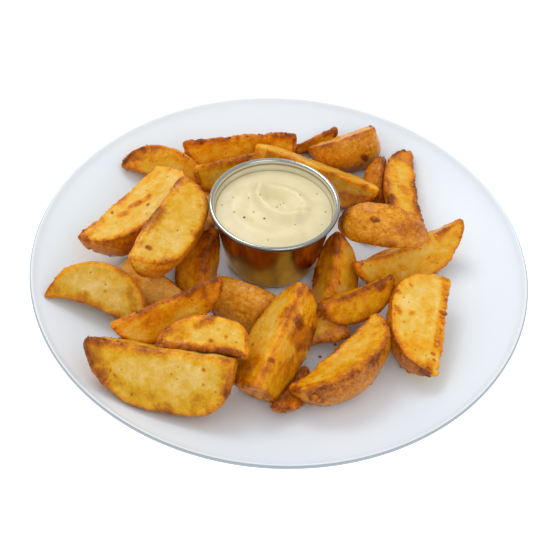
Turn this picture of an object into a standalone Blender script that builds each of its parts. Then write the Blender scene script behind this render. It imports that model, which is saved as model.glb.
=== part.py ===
"""Patatas bravas: a coupe plate of fried potato wedges round a steel cup of white dip.

Every wedge, the plate, the cup and the dip is one closed solid. Metres, +Z up, the
origin under the middle of the plate. The side at -Y is the front.
"""

import math
from dataclasses import dataclass

import bmesh
import bpy
import numpy as np
from mathutils import Matrix, Quaternion, Vector, noise

MM = 0.001

# Plate: a coupe plate, flat in the middle, turned up to a thin round rim.
PLATE_RADIUS = 130 * MM
PLATE_HEIGHT = 25 * MM
FLOOR_HEIGHT = 6.5 * MM  # top of the flat middle
FLOOR_RADIUS = 80 * MM  # the flat middle ends and the rise starts
RIM_THICKNESS = 3.2 * MM  # the rim is rounded to half of this
WALL_THICKNESS = 4 * MM
FOOT_RADIUS = 72 * MM  # inner edge of the ring it stands on
FOOT_WIDTH = 5 * MM
FOOT_TAPER = 1 * MM
PLATE_RISE_STEPS = 6
PLATE_LIP_STEPS = 4
PLATE_SEGMENTS = 48

# Cup: a small tapered steel cup with a rolled bead for a rim.
CUP_CENTRE = (-4.8 * MM, 15.3 * MM)
CUP_HEIGHT = 42 * MM
CUP_BEAD_RADIUS = 1.3 * MM
CUP_TOP_RADIUS = 32.9 * MM  # middle of the bead
CUP_BASE_RADIUS = 24.5 * MM
CUP_CORNER_RADIUS = 4 * MM
CUP_WALL = 0.8 * MM
CUP_SLOPE = 15  # degrees that the rounded corner stops short of upright
CUP_SEGMENTS = 36
CUP_BEAD_STEPS = 6
CUP_CORNER_STEPS = 4

# Dip: fills the cup up to a little below the bead.
DIP_BELOW_RIM = 6.2 * MM
DIP_SWIRL_HEIGHT = 0.9 * MM
DIP_SWIRL_TURNS = 1.4
DIP_CROWN = 0.5 * MM
DIP_RINGS = 8

GAP = 0.3 * MM  # left between pieces that touch

# Wedges: rings of points along each, steps across a cut face and across the skin.
WEDGE_STATIONS = 9
CUT_STEPS = 3
SKIN_STEPS = 4
SKIN_BUMP = 0.05  # as a share of the depth


@dataclass
class Wedge:
    """One wedge: a sector of a potato, cut lengthwise, with its ridge along its middle.

    x, y, z place the middle of the ridge, in mm. heading turns the wedge in plan and pitch
    lifts its nose. At roll 0 it lies on its skin with the ridge up, and a positive roll
    swings the skin to the left of the heading. Angles are in degrees.
    """

    name: str
    x: float
    y: float
    z: float
    heading: float
    pitch: float
    roll: float
    length: float
    depth: float  # ridge to skin
    angle: float = 62.0  # between the two cut faces
    tail: float = 2.1  # 2 is an oval end, more is blunter
    nose: float = 2.1
    bow: float = 0.0  # how far the ridge dips in the middle
    sweep: float = 0.0  # sideways bend of the whole wedge
    dish: float = 0.9  # how far the cut faces have sunk in
    twist: float = 0.0


WEDGES = [
    Wedge("wedge_left", -93, -43, 17, -17, -8, 110, 54, 29, 50, bow=6),
    Wedge("wedge_front_left", -52, -79, 40, -8, 0, 0, 71, 29, 84, tail=1.8, nose=4),
    Wedge("wedge_orange_long", -54, -50, 40, 29, 8, 5, 59, 20, 60, twist=8),
    Wedge("wedge_pale", -34, -77, 39, 0, 3, 70, 42, 17, 70, nose=4, sweep=1.5),
    Wedge("wedge_centre", 4, -63, 43, 69, 10, 20, 58, 30, 65, tail=6, nose=2.6, twist=-6),
    Wedge("wedge_under_front", 3, -76, 16, 55, 0, -60, 28, 10, 70),
    Wedge("wedge_under_right", 18, -50, 15, 20, 0, 70, 36, 14, 60),
    Wedge("wedge_skin_right", 35, -57, 24, 40, 5, -80, 62, 24, 64, bow=1, twist=6),
    Wedge("wedge_right", 80, -42, 24, 79, 5, 77, 60, 29, 50, tail=2.2, nose=2.8),
    Wedge("wedge_boomerang", 67, 9, 32, 30, 6, 5, 65, 25, 64, bow=6),
    Wedge("wedge_upright", 74, 57, 22, 94, -3, 75, 72, 18, 52, sweep=2),
    Wedge("wedge_skin_cup", 53, 15, 33, -8, 0, -138, 47, 18, 76, sweep=-2),
    Wedge("wedge_small_right", 40, -31, 29, 33, 0, 5, 44, 17, 70, twist=-8),
    Wedge("wedge_cup_right", 26, -11, 28, 85, 24, -5, 42, 21, 66, sweep=-1.5),
    Wedge("wedge_cup_left", -33, -11, 25, 78, 28, 8, 39, 18, 70, sweep=2),
    Wedge("wedge_skin_left", -62, -14, 10, -38, 0, -130, 52, 16, 76),
    Wedge("wedge_yellow_left", -66, 3, 48, 72, 0, -55, 62, 25, 72, tail=3, nose=2.4, bow=-1.5),
    Wedge("wedge_crusty", -87, 28, 28, 54, 5, -70, 64, 29, 66, tail=2, nose=5, twist=-6),
    Wedge("wedge_back_left", -66, 64, 14, -11, -6, 105, 50, 19, 62, sweep=2),
    Wedge("wedge_olive", -51, 32, 21, 92, 0, -50, 40, 15, 60),
    Wedge("wedge_far_back", -28, 82, 29, 18, 0, 8, 66, 19, 62, tail=2.4, nose=3, bow=-1.5),
    Wedge("wedge_back_mid", -32, 62, 36, 24, 0, 0, 42, 18, 62, tail=3),
    Wedge("wedge_behind_cup", 17, 64, 32, -25, 0, 28, 74, 23, 60, tail=2.6, bow=-1),
    Wedge("wedge_eye", 29, 99, 20, 22, 12, -98, 40, 23, 70, nose=4),
    Wedge("wedge_back_strip", 15, 101, 18, 25, 8, 0, 28, 8, 60),
    Wedge("wedge_red_back", 57, 66, 16, 91, 34, 150, 30, 11, 70),
    Wedge("wedge_yellow_back", 49, 46, 14, 80, 0, 160, 24, 12, 70),
    Wedge("wedge_cup_front", -11, -22, 9, -26, 0, -132, 52, 22, 74),
]

# Settling: sweeps that let the wedges down, then sweeps that only part them.
SINK_SWEEPS = 120
PART_SWEEPS = 200
SINK_STEP = 0.4 * MM
HOLD = 0.12  # share of a wedge's sideways drift that each sweep takes back
TURN_HOLD = 0.15  # and of its turning
TOUCH = 0.6 * MM  # two pieces this close rest on each other
SETTLED = 0.15 * MM  # the deepest overlap left when the settling stops
ROUND_OFF = 1.0 * MM  # points this near the deepest one share a contact
SHARP_EDGE = math.radians(25)  # hull edges that can lie across another piece's
EDGES_TRIED = 12
LEAST_CROSS = 0.2  # two edges closer to parallel than this have no axis of their own


def make_material(name, colour, roughness, metallic=0.0):
    material = bpy.data.materials.new(name)
    material.use_nodes = True
    shader = material.node_tree.nodes["Principled BSDF"]
    shader.inputs["Base Color"].default_value = (*colour, 1.0)
    shader.inputs["Roughness"].default_value = roughness
    shader.inputs["Metallic"].default_value = metallic
    return material


def add_object(name, mesh, material):
    mesh.materials.append(material)
    obj = bpy.data.objects.new(name, mesh)
    bpy.context.scene.collection.objects.link(obj)
    return obj


# ---------------------------------------------------------------- turned pieces


def turned(name, profile, segments, material):
    """A solid turned round Z from (radius, height) points, listed from the middle of its
    top round its outer side to the middle of its underside."""
    mesh = bpy.data.meshes.new(name)
    points = [(radius, 0.0, height) for radius, height in profile]
    edges = [(i, i + 1) for i in range(len(points) - 1)]
    mesh.from_pydata(points, edges, [])
    obj = add_object(name, mesh, material)
    screw = obj.modifiers.new("turn", "SCREW")
    screw.steps = segments
    screw.render_steps = segments
    screw.use_merge_vertices = True
    screw.merge_threshold = 0.00005
    return obj


def arc(centre, radius, start, end, steps):
    """Points on an arc in the (radius, height) plane, angles in degrees from outward."""
    points = []
    for i in range(steps + 1):
        angle = math.radians(start + (end - start) * i / steps)
        points.append(
            (centre[0] + radius * math.cos(angle), centre[1] + radius * math.sin(angle))
        )
    return points


def plate_top(radius):
    """Height of the plate's upper surface at a radius: flat, then a parabola."""
    outward = np.maximum(radius - FLOOR_RADIUS, 0.0) / (PLATE_RADIUS - FLOOR_RADIUS)
    return FLOOR_HEIGHT + (PLATE_HEIGHT - FLOOR_HEIGHT) * outward**2


def plate_slope(radius):
    """How steeply that surface climbs."""
    rise_width = PLATE_RADIUS - FLOOR_RADIUS
    return 2 * (PLATE_HEIGHT - FLOOR_HEIGHT) * max(radius - FLOOR_RADIUS, 0.0) / rise_width**2


def make_plate():
    lip = RIM_THICKNESS / 2
    rise_end = PLATE_RADIUS - lip
    profile = [(0.0, FLOOR_HEIGHT), (FLOOR_RADIUS / 2, FLOOR_HEIGHT)]
    for i in range(PLATE_RISE_STEPS):
        radius = FLOOR_RADIUS + (rise_end - FLOOR_RADIUS) * i / PLATE_RISE_STEPS
        profile.append((radius, plate_top(radius)))
    profile += arc((rise_end, PLATE_HEIGHT - lip), lip, 90, -60, PLATE_LIP_STEPS)
    under_start = FOOT_RADIUS + FOOT_WIDTH
    for i in range(PLATE_RISE_STEPS - 1, 0, -1):
        radius = under_start + (rise_end - under_start) * i / PLATE_RISE_STEPS
        profile.append((radius, plate_top(radius) - WALL_THICKNESS))
    under = FLOOR_HEIGHT - WALL_THICKNESS
    profile += [
        (under_start, under),
        (under_start - FOOT_TAPER, 0.0),
        (FOOT_RADIUS, 0.0),
        (FOOT_RADIUS - FOOT_TAPER, under),
        (0.0, under),
    ]
    glaze = make_material("white_glaze", (0.80, 0.82, 0.85), 0.2)
    return turned("plate", profile, PLATE_SEGMENTS, glaze)


def cup_outer_radius(height):
    """Outer radius of the cup's wall at a height above its base."""
    wall_top = CUP_TOP_RADIUS - CUP_BEAD_RADIUS * 0.4
    return CUP_BASE_RADIUS + (wall_top - CUP_BASE_RADIUS) * height / CUP_HEIGHT


def cup_corner(inset, steps):
    """The cup's rounded bottom corner, down to its base, this far in from the outside."""
    centre = (CUP_BASE_RADIUS - CUP_CORNER_RADIUS, CUP_CORNER_RADIUS)
    return arc(centre, CUP_CORNER_RADIUS - inset, -CUP_SLOPE, -90, steps)


def make_cup():
    base = FLOOR_HEIGHT + GAP
    bead_middle = CUP_HEIGHT - CUP_BEAD_RADIUS
    bead_foot = bead_middle - CUP_BEAD_RADIUS
    inner = [(0.0, CUP_WALL)] + cup_corner(CUP_WALL, CUP_CORNER_STEPS - 1)[::-1]
    inner.append((cup_outer_radius(bead_middle) - CUP_WALL, bead_middle))
    bead = arc((CUP_TOP_RADIUS, bead_middle), CUP_BEAD_RADIUS, 150, -90, CUP_BEAD_STEPS)
    outer = [(cup_outer_radius(bead_foot), bead_foot)]
    outer += cup_corner(0.0, CUP_CORNER_STEPS)
    profile = [(r, base + h) for r, h in inner + bead + outer] + [(0.0, base)]
    steel = make_material("steel", (0.72, 0.72, 0.71), 0.2, 1.0)
    cup = turned("cup", profile, CUP_SEGMENTS, steel)
    cup.location = (*CUP_CENTRE, 0.0)
    return cup


def dip_surface(radius, angle, edge):
    """Height of the dip's top above its level: one spoon swirl that dies at the wall."""
    spread = radius / edge
    swirl = math.sin(2 * math.pi * spread * DIP_SWIRL_TURNS - angle)
    crown = DIP_CROWN * (1 - spread)
    return DIP_SWIRL_HEIGHT * swirl * math.sin(math.pi * spread) + crown


def make_dip():
    """Rings of points from the middle of the top, down the cup's wall, to the base."""
    base = FLOOR_HEIGHT + GAP
    level = CUP_HEIGHT - DIP_BELOW_RIM
    inset = CUP_WALL + GAP * 1.5
    edge = cup_outer_radius(level) - inset
    rings = [(edge * i / DIP_RINGS, None) for i in range(1, DIP_RINGS + 1)]
    rings += cup_corner(inset, CUP_CORNER_STEPS - 1)
    mesh = bpy.data.meshes.new("dip")
    bm = bmesh.new()
    loops = []
    for radius, height in rings:
        verts = []
        for k in range(CUP_SEGMENTS):
            angle = 2 * math.pi * k / CUP_SEGMENTS
            up = level + dip_surface(radius, angle, edge) if height is None else height
            verts.append(
                bm.verts.new((radius * math.cos(angle), radius * math.sin(angle), base + up))
            )
        loops.append(verts)
    join_rings(bm, loops)
    bm.faces.new(reversed(loops[-1]))
    top = bm.verts.new((0, 0, base + level + dip_surface(0.0, 0.0, edge)))
    close_tip(bm, loops[0], top)
    bmesh.ops.recalc_face_normals(bm, faces=bm.faces)
    bm.to_mesh(mesh)
    bm.free()
    cream = make_material("white_dip", (0.86, 0.80, 0.60), 0.35)
    dip = add_object("dip", mesh, cream)
    dip.location = (*CUP_CENTRE, 0.0)
    return dip


def join_rings(bm, loops):
    """Quads between each ring of points and the next."""
    count = len(loops[0])
    for first, second in zip(loops, loops[1:]):
        for k in range(count):
            after = (k + 1) % count
            bm.faces.new((first[k], second[k], second[after], first[after]))


def close_tip(bm, loop, tip):
    count = len(loop)
    for k in range(count):
        bm.faces.new((loop[k], loop[(k + 1) % count], tip))


# ---------------------------------------------------------------- potato wedges


def wedge_section(wedge, along, seed):
    """The outline of a wedge at a place along it, from -1 at its tail to 1 at its nose.

    Returns (y, z) points: the ridge, one cut face, the skin, the other cut face. The
    skin is down, round the potato's axis, and the ridge lies on the axis.
    """
    blunt = wedge.tail if along < 0 else wedge.nose
    fullness = (1 - abs(along) ** blunt) ** (1 / blunt)
    radius = wedge.depth * fullness
    half = math.radians(wedge.angle) / 2
    middle = 1 - along * along
    ridge = Vector((0.0, -wedge.bow * middle))
    sunk = wedge.dish * fullness
    skin = []
    for i in range(SKIN_STEPS + 1):
        angle = -half + 2 * half * i / SKIN_STEPS
        bump = noise.noise(Vector((along * 2.2, angle * 1.5, seed * 7.3)))
        reach = radius * (1 + SKIN_BUMP * bump)
        skin.append(Vector((reach * math.sin(angle), -reach * math.cos(angle))))
    points = [ridge]
    points += cut_face(ridge, skin[0], sunk, along, seed)
    points += skin
    points += reversed(cut_face(ridge, skin[-1], sunk, along, seed + 0.5))
    return points


def cut_face(ridge, edge, sunk, along, seed):
    """Points between the ridge and an edge of the skin, sunk in towards the wedge."""
    line = edge - ridge
    inward = Vector((-line.y, line.x)).normalized()
    if inward.x * edge.x > 0:
        inward.negate()
    points = []
    for i in range(1, CUT_STEPS):
        share = i / CUT_STEPS
        bump = noise.noise(Vector((along * 2.0, share * 1.5, seed * 3.1 + 40)))
        depth = sunk * math.sin(math.pi * share) * (1 + bump)
        points.append(ridge + line * share + inward * depth)
    return points


def wedge_mesh(wedge, seed):
    """The wedge along X, its ridge's middle at the origin, in metres."""
    mesh = bpy.data.meshes.new(wedge.name)
    bm = bmesh.new()
    loops = []
    for k in range(1, WEDGE_STATIONS + 1):
        along = -math.cos(math.pi * k / (WEDGE_STATIONS + 1))
        middle = 1 - along * along
        turn = Matrix.Rotation(math.radians(wedge.twist) * along, 2)
        side = wedge.sweep * middle
        verts = []
        for point in wedge_section(wedge, along, seed):
            y, z = turn @ point
            place = Vector((along * wedge.length / 2, y + side, z))
            verts.append(bm.verts.new(place * MM))
        loops.append(verts)
    join_rings(bm, loops)
    for loop, end in ((loops[0], -1), (loops[-1], 1)):
        tip = bm.verts.new((end * wedge.length / 2 * MM, 0, 0))
        close_tip(bm, loop, tip)
    bmesh.ops.recalc_face_normals(bm, faces=bm.faces)
    bmesh.ops.triangulate(bm, faces=bm.faces)
    bm.to_mesh(mesh)
    bm.free()
    return mesh


# ---------------------------------------------------------------- settling


def convex_hull(points):
    """Corners, face planes and unit edge directions of the hull round some points."""
    bm = bmesh.new()
    for point in points:
        bm.verts.new(point)
    hull = bmesh.ops.convex_hull(bm, input=bm.verts)
    loose = [v for v in hull["geom_interior"] if isinstance(v, bmesh.types.BMVert)]
    bmesh.ops.delete(bm, geom=loose, context="VERTS")
    bmesh.ops.recalc_face_normals(bm, faces=bm.faces)
    corners = np.array([v.co for v in bm.verts])
    normals = np.array([f.normal for f in bm.faces])
    anchors = np.array([f.verts[0].co for f in bm.faces])
    sharp = [e for e in bm.edges if e.calc_face_angle(0.0) > SHARP_EDGE]
    edges = np.array([(e.verts[1].co - e.verts[0].co).normalized() for e in sharp])
    bm.free()
    return corners, normals, np.sum(normals * anchors, axis=1), edges


class Lump:
    """A convex piece with a place and a turn, for settling the pile."""

    def __init__(self, points, turn, place, mass=None):
        middle = points.mean(axis=0)
        self.middle = middle
        self.turn = turn
        self.place = place + turn @ middle
        self.aim = self.place.copy()
        self.aim_turn = turn.copy()
        self.fixed = mass is None
        corners, self.normals, offsets, edges = convex_hull(points - middle)
        self.corners = corners
        self.offsets = offsets
        self.edges = edges[:: max(1, len(edges) // EDGES_TRIED)]
        self.reach = np.linalg.norm(corners, axis=1).max()
        self.inverse_mass = 0.0 if self.fixed else 1.0 / mass
        spread = (corners**2).mean(axis=0)
        self.inverse_inertia = self.inverse_mass / (spread.sum() - spread)
        self.refresh()

    def refresh(self):
        self.world = self.corners @ self.turn.T + self.place

    def planes(self):
        normals = self.normals @ self.turn.T
        return normals, self.offsets + normals @ self.place

    def ease_back(self):
        """Takes back a share of the sideways drift and of the turn since the start."""
        self.place[:2] += (self.aim - self.place)[:2] * HOLD
        back = Matrix((self.aim_turn @ self.turn.T).tolist()).to_quaternion()
        spin = Quaternion().slerp(back, TURN_HOLD).to_matrix()
        self.turn = np.array(spin) @ self.turn

    def slack(self, arm, push):
        """How easily a push on an arm from the middle moves that spot."""
        twist = self.turn.T @ np.cross(arm, push)
        return self.inverse_mass + np.dot(twist * self.inverse_inertia, twist)

    def shove(self, arm, push):
        """Moves and turns the piece for a push on an arm from its middle."""
        if self.fixed:
            return
        self.place = self.place + push * self.inverse_mass
        twist = self.turn.T @ np.cross(arm, push)
        turn = self.turn @ (twist * self.inverse_inertia)
        angle = np.linalg.norm(turn)
        if angle > 1e-9:
            spin = Matrix.Rotation(angle, 3, Vector(turn / angle))
            self.turn = np.array(spin) @ self.turn
        self.refresh()


def far_points(points, along):
    """The middle of the points that lie furthest one way."""
    heights = points @ along
    return points[heights > heights.max() - ROUND_OFF].mean(axis=0)


def closest_axis(first, second):
    """The axis that parts two pieces best, from the first to the second, and its gap."""
    normals, offsets = first.planes()
    gaps = (second.world @ normals.T).min(axis=0) - offsets
    best = int(gaps.argmax())
    gap, axis = gaps[best], normals[best]
    normals, offsets = second.planes()
    gaps = (first.world @ normals.T).min(axis=0) - offsets
    best = int(gaps.argmax())
    if gaps[best] > gap:
        gap, axis = gaps[best], -normals[best]
    if gap > TOUCH or not len(first.edges) or not len(second.edges):
        return gap, axis
    ours = first.edges @ first.turn.T
    theirs = second.edges @ second.turn.T
    crosses = np.cross(ours[:, None, :], theirs[None, :, :]).reshape(-1, 3)
    sizes = np.linalg.norm(crosses, axis=1)
    clear = sizes > LEAST_CROSS
    crosses = crosses[clear] / sizes[clear, None]
    if len(crosses):
        a = first.world @ crosses.T
        b = second.world @ crosses.T
        onward = b.min(axis=0) - a.max(axis=0)
        backward = a.min(axis=0) - b.max(axis=0)
        for gaps, sign in ((onward, 1.0), (backward, -1.0)):
            best = int(gaps.argmax())
            if gaps[best] > gap:
                gap, axis = gaps[best], crosses[best] * sign
    return gap, axis


def push_apart(first, second):
    """Pushes two pieces apart until they only touch, and returns how deep they were."""
    if np.linalg.norm(first.place - second.place) > first.reach + second.reach:
        return 0.0
    gap, axis = closest_axis(first, second)
    depth = TOUCH - gap
    if depth <= 0.0:
        return 0.0
    spot = (far_points(first.world, axis) + far_points(second.world, -axis)) / 2
    arms = spot - first.place, spot - second.place
    size = depth / (first.slack(arms[0], axis) + second.slack(arms[1], axis))
    first.shove(arms[0], -axis * size)
    second.shove(arms[1], axis * size)
    return depth


def lift_off_plate(lump):
    """Lifts a piece out of the plate, and returns how deep it was."""
    radii = np.hypot(lump.world[:, 0], lump.world[:, 1])
    gaps = lump.world[:, 2] - plate_top(radii)
    depth = TOUCH - gaps.min()
    if depth <= 0.0:
        return 0.0
    spot = lump.world[gaps < gaps.min() + ROUND_OFF].mean(axis=0)
    outward = np.array([spot[0], spot[1], 0.0]) / max(math.hypot(spot[0], spot[1]), MM)
    axis = np.array([0.0, 0.0, 1.0]) - plate_slope(radii[int(gaps.argmin())]) * outward
    axis /= np.linalg.norm(axis)
    arm = spot - lump.place
    lump.shove(arm, axis * depth * axis[2] / lump.slack(arm, axis))
    return depth


def settle(lumps, cup):
    """Lets the pieces down on the plate and on each other, then parts what overlaps."""
    pairs = [(a, b) for i, a in enumerate(lumps) for b in lumps[i + 1 :]]
    for sweep in range(SINK_SWEEPS + PART_SWEEPS):
        worst = 0.0
        if sweep < SINK_SWEEPS:
            for lump in lumps:
                lump.ease_back()
                lump.place[2] -= SINK_STEP * (1 - sweep / SINK_SWEEPS)
                lump.refresh()
        for first, second in pairs:
            worst = max(worst, push_apart(first, second))
        for lump in lumps:
            worst = max(worst, push_apart(cup, lump), lift_off_plate(lump))
        if sweep >= SINK_SWEEPS and worst < SETTLED:
            break


def orientation(wedge):
    return np.array(
        Matrix.Rotation(math.radians(wedge.heading), 3, "Z")
        @ Matrix.Rotation(math.radians(-wedge.pitch), 3, "Y")
        @ Matrix.Rotation(math.radians(wedge.roll), 3, "X")
    )


def make_wedges():
    fried = make_material("fried_potato", (0.66, 0.36, 0.07), 0.45)
    objects = []
    lumps = []
    for seed, wedge in enumerate(WEDGES):
        mesh = wedge_mesh(wedge, seed)
        objects.append(add_object(wedge.name, mesh, fried))
        points = np.array([v.co for v in mesh.vertices])
        place = np.array([wedge.x, wedge.y, wedge.z]) * MM
        mass = wedge.length * wedge.depth**2
        lumps.append(Lump(points, orientation(wedge), place, mass))
    settle(lumps, cup_lump())
    for obj, lump in zip(objects, lumps):
        matrix = Matrix(lump.turn.tolist()).to_4x4()
        matrix.translation = Vector(lump.place - lump.turn @ lump.middle)
        obj.matrix_world = matrix


def cup_lump():
    """The cup's outside as one convex piece that stays put."""
    rings = [(CUP_BASE_RADIUS - 1 * MM, 0.0), (CUP_TOP_RADIUS + CUP_BEAD_RADIUS, CUP_HEIGHT)]
    points = [
        (radius * math.cos(turn), radius * math.sin(turn), FLOOR_HEIGHT + height)
        for radius, height in rings
        for turn in np.linspace(0, 2 * math.pi, CUP_SEGMENTS, endpoint=False)
    ]
    place = np.array([*CUP_CENTRE, 0.0])
    return Lump(np.array(points), np.identity(3), place)


def main():
    for obj in list(bpy.data.objects):
        bpy.data.objects.remove(obj)
    make_plate()
    make_cup()
    make_dip()
    make_wedges()


main()
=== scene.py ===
import math
import random
from itertools import product

import bpy
import numpy as np
from mathutils import Matrix, Vector
from mathutils.bvhtree import BVHTree
from mathutils.kdtree import KDTree


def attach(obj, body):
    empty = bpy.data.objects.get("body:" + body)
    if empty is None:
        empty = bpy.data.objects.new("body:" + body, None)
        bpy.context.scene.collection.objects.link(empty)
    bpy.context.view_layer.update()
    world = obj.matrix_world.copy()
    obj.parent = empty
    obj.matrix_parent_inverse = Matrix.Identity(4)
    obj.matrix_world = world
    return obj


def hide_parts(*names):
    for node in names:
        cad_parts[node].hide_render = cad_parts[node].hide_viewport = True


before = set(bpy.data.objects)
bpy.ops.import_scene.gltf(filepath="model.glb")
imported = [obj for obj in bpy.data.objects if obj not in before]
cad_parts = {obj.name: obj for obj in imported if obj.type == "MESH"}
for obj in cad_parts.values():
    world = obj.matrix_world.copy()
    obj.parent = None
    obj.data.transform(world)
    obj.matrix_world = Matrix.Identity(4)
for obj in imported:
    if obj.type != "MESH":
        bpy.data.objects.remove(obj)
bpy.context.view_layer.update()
mm = 0.001
bpy.context.scene.view_settings.view_transform = "Standard"
print("frame loaded:", len(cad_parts), "nodes")

# where the plate is seen from: metres, degrees, and the lens and its sensor in mm
viewpoint = {
    "aim": (-0.0022, 0.0083, 0.0),
    "distance": 0.624,
    "elevation": 48,
    "roll": 3.5,
    "lens": 75,
    "sensor": 36,
    "clipStart": 0.01,
    "frame": 550,  # the frame is square, and places in it are counted across and down
}


def placeCamera():
    tilt = Matrix.Rotation(math.radians(90 - viewpoint["elevation"]), 3, "X")
    turn = tilt @ Matrix.Rotation(math.radians(viewpoint["roll"]), 3, "Z")
    place = Vector(viewpoint["aim"]) + turn @ Vector((0, 0, viewpoint["distance"]))
    bpy.ops.object.camera_add(location=place, rotation=turn.to_euler())
    camera = bpy.context.object
    camera.name = "camera"
    camera.data.lens = viewpoint["lens"]
    camera.data.clip_start = viewpoint["clipStart"]
    bpy.context.scene.camera = camera
    return place, turn


eye, eyeTurn = placeCamera()


def sightLine(across, down):  # the direction from the camera through a spot of its frame
    scale = viewpoint["sensor"] / viewpoint["lens"] / viewpoint["frame"]
    middle = viewpoint["frame"] / 2
    spot = Vector(((across - middle) * scale, (middle - down) * scale, -1))
    return (eyeTurn @ spot).normalized()


# node helpers for the materials and the sky
def newMaterial(name, **sockets):
    material = bpy.data.materials.new(name)
    material.use_nodes = True
    shader = material.node_tree.nodes["Principled BSDF"]
    for socket, value in sockets.items():
        shader.inputs[socket.replace("_", " ")].default_value = value
    return material, material.node_tree, shader


def addNode(tree, kind, inputs=(), **settings):
    node = tree.nodes.new("ShaderNode" + kind)
    for key, value in settings.items():
        setattr(node, key, value)
    for socket, value in dict(inputs).items():
        if isinstance(value, bpy.types.NodeSocket):
            tree.links.new(value, node.inputs[socket])
        else:
            node.inputs[socket].default_value = value
    return node


def sums(tree, operation, *values):
    return addNode(tree, "Math", enumerate(values), operation=operation).outputs[0]


def centred(tree, noise, amount):  # noise that adds as much as it takes away
    return sums(tree, "MULTIPLY_ADD", noise, amount, -amount / 2)


def layer(tree, name):  # a value stored on the mesh
    return addNode(tree, "Attribute", attribute_name=name).outputs["Fac"]


def grains(tree, scale, detail=3.0, stretch=None, distortion=0.0):
    place = addNode(tree, "TexCoord").outputs["Object"]
    if stretch:
        place = addNode(tree, "Mapping", {"Vector": place, "Scale": stretch}).outputs[0]
    inputs = {"Vector": place, "Scale": scale, "Detail": detail, "Distortion": distortion}
    return addNode(tree, "TexNoise", inputs).outputs["Fac"]


def ramp(tree, fac, stops, easing="LINEAR"):
    node = addNode(tree, "ValToRGB", {"Fac": fac})
    node.color_ramp.interpolation = easing
    elements = node.color_ramp.elements
    while len(elements) < len(stops):
        elements.new(0.5)
    for element, (place, colour) in zip(elements, stops):
        element.position = place
        element.color = (*colour, 1)
    return node.outputs["Color"]


def mixColour(tree, fac, first, second):
    return addNode(tree, "Mix", {0: fac, 6: first, 7: second}, data_type="RGBA").outputs[2]


def spread(tree, value, low, high, newLow, newHigh):
    inputs = {0: value, 1: low, 2: high, 3: newLow, 4: newHigh}
    return addNode(tree, "MapRange", inputs).outputs[0]


def paint(tree, shader, colour, roughness=None):
    tree.links.new(colour, shader.inputs["Base Color"])
    if roughness:
        tree.links.new(roughness, shader.inputs["Roughness"])


def addBump(tree, shader, height, strength, distance):
    bump = addNode(tree, "Bump", {"Height": height, "Strength": strength, "Distance": distance})
    tree.links.new(bump.outputs["Normal"], shader.inputs["Normal"])


# soft light, in metres and watts
studio = {
    "sky": 0.97,
    "skyColour": (0.94, 0.975, 1.0, 1),
    "mirrored": 0.4,  # the room is this much darker where it is only mirrored
    "aim": (0, 0, 0.02),
    "lamps": [
        {
            "name": "keyLight",
            "place": (-0.3, 0.5, 0.85),
            "size": 0.5,
            "power": 2.4,
            "colour": (1.0, 0.985, 0.96),
        },
        {
            "name": "fillLight",
            "place": (0.3, -0.55, 0.65),
            "size": 0.6,
            "power": 0.9,
            "colour": (0.96, 0.98, 1.0),
        },
    ],
}


def lightStudio():
    world = bpy.data.worlds.new("studio")
    world.use_nodes = True
    tree = world.node_tree
    sky = tree.nodes["Background"].inputs
    sky["Color"].default_value = studio["skyColour"]
    mirrored = addNode(tree, "LightPath").outputs["Is Glossy Ray"]
    dimmed = studio["sky"] * studio["mirrored"]
    tree.links.new(spread(tree, mirrored, 0, 1, studio["sky"], dimmed), sky["Strength"])
    bpy.context.scene.world = world
    for look in studio["lamps"]:
        aim = (Vector(studio["aim"]) - Vector(look["place"])).to_track_quat("-Z", "Y")
        bpy.ops.object.light_add(type="AREA", location=look["place"], rotation=aim.to_euler())
        lamp = bpy.context.object
        lamp.name = look["name"]
        lamp.data.shape = "DISK"
        lamp.data.size = look["size"]
        lamp.data.energy = look["power"]
        lamp.data.color = look["colour"]


lightStudio()

noiseRange = (0.3, 0.7)  # where most of a noise lies

# in these looks a colour list gives stops along a noise, a roughness its two ends, a bump its
# strength and height, and every other number is the scale of a noise
porcelain = {
    "colours": [(0.0, (0.785, 0.85, 0.91)), (1.0, (0.815, 0.87, 0.92))],
    # painted shade: the outer side of the rolled lip is greyer
    "rimShadeColour": (0.25, 0.27, 0.285, 1),
    "roughness": (0.3, 0.36),
    "bump": (0.03, 0.0001),
    "clouds": 9,
    "smears": 25,
    "pits": 700,
}


def porcelainMaterial():
    material, tree, shader = newMaterial("whitePorcelain", Roughness=0.33, IOR=1.5)
    colour = ramp(tree, grains(tree, porcelain["clouds"], 0), porcelain["colours"], "EASE")
    # painted shade along the outer side of the lip
    colour = mixColour(tree, layer(tree, "rim"), colour, porcelain["rimShadeColour"])
    smears = grains(tree, porcelain["smears"], 2)
    paint(tree, shader, colour, spread(tree, smears, 0, 1, *porcelain["roughness"]))
    addBump(tree, shader, grains(tree, porcelain["pits"], 1), *porcelain["bump"])
    return material


steel = {
    "colours": [(0.3, (0.74, 0.72, 0.67)), (0.7, (0.84, 0.82, 0.76))],
    # painted reflection: below the bead, the cup's outside is tinted with the golden wedges that it
    # mirrors
    "wedgeReflectionColours": [(0.35, (0.38, 0.17, 0.006)), (0.65, (0.78, 0.40, 0.012))],  # among the wedges
    "shadeColour": (0.05, 0.05, 0.05, 1),
    "roughness": (0.1, 0.24),
    "bump": (0.08, 0.0002),
    "clouds": 40,
    "wedgeReflectionStreaks": 130,
    "brushing": 60,
}


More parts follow.
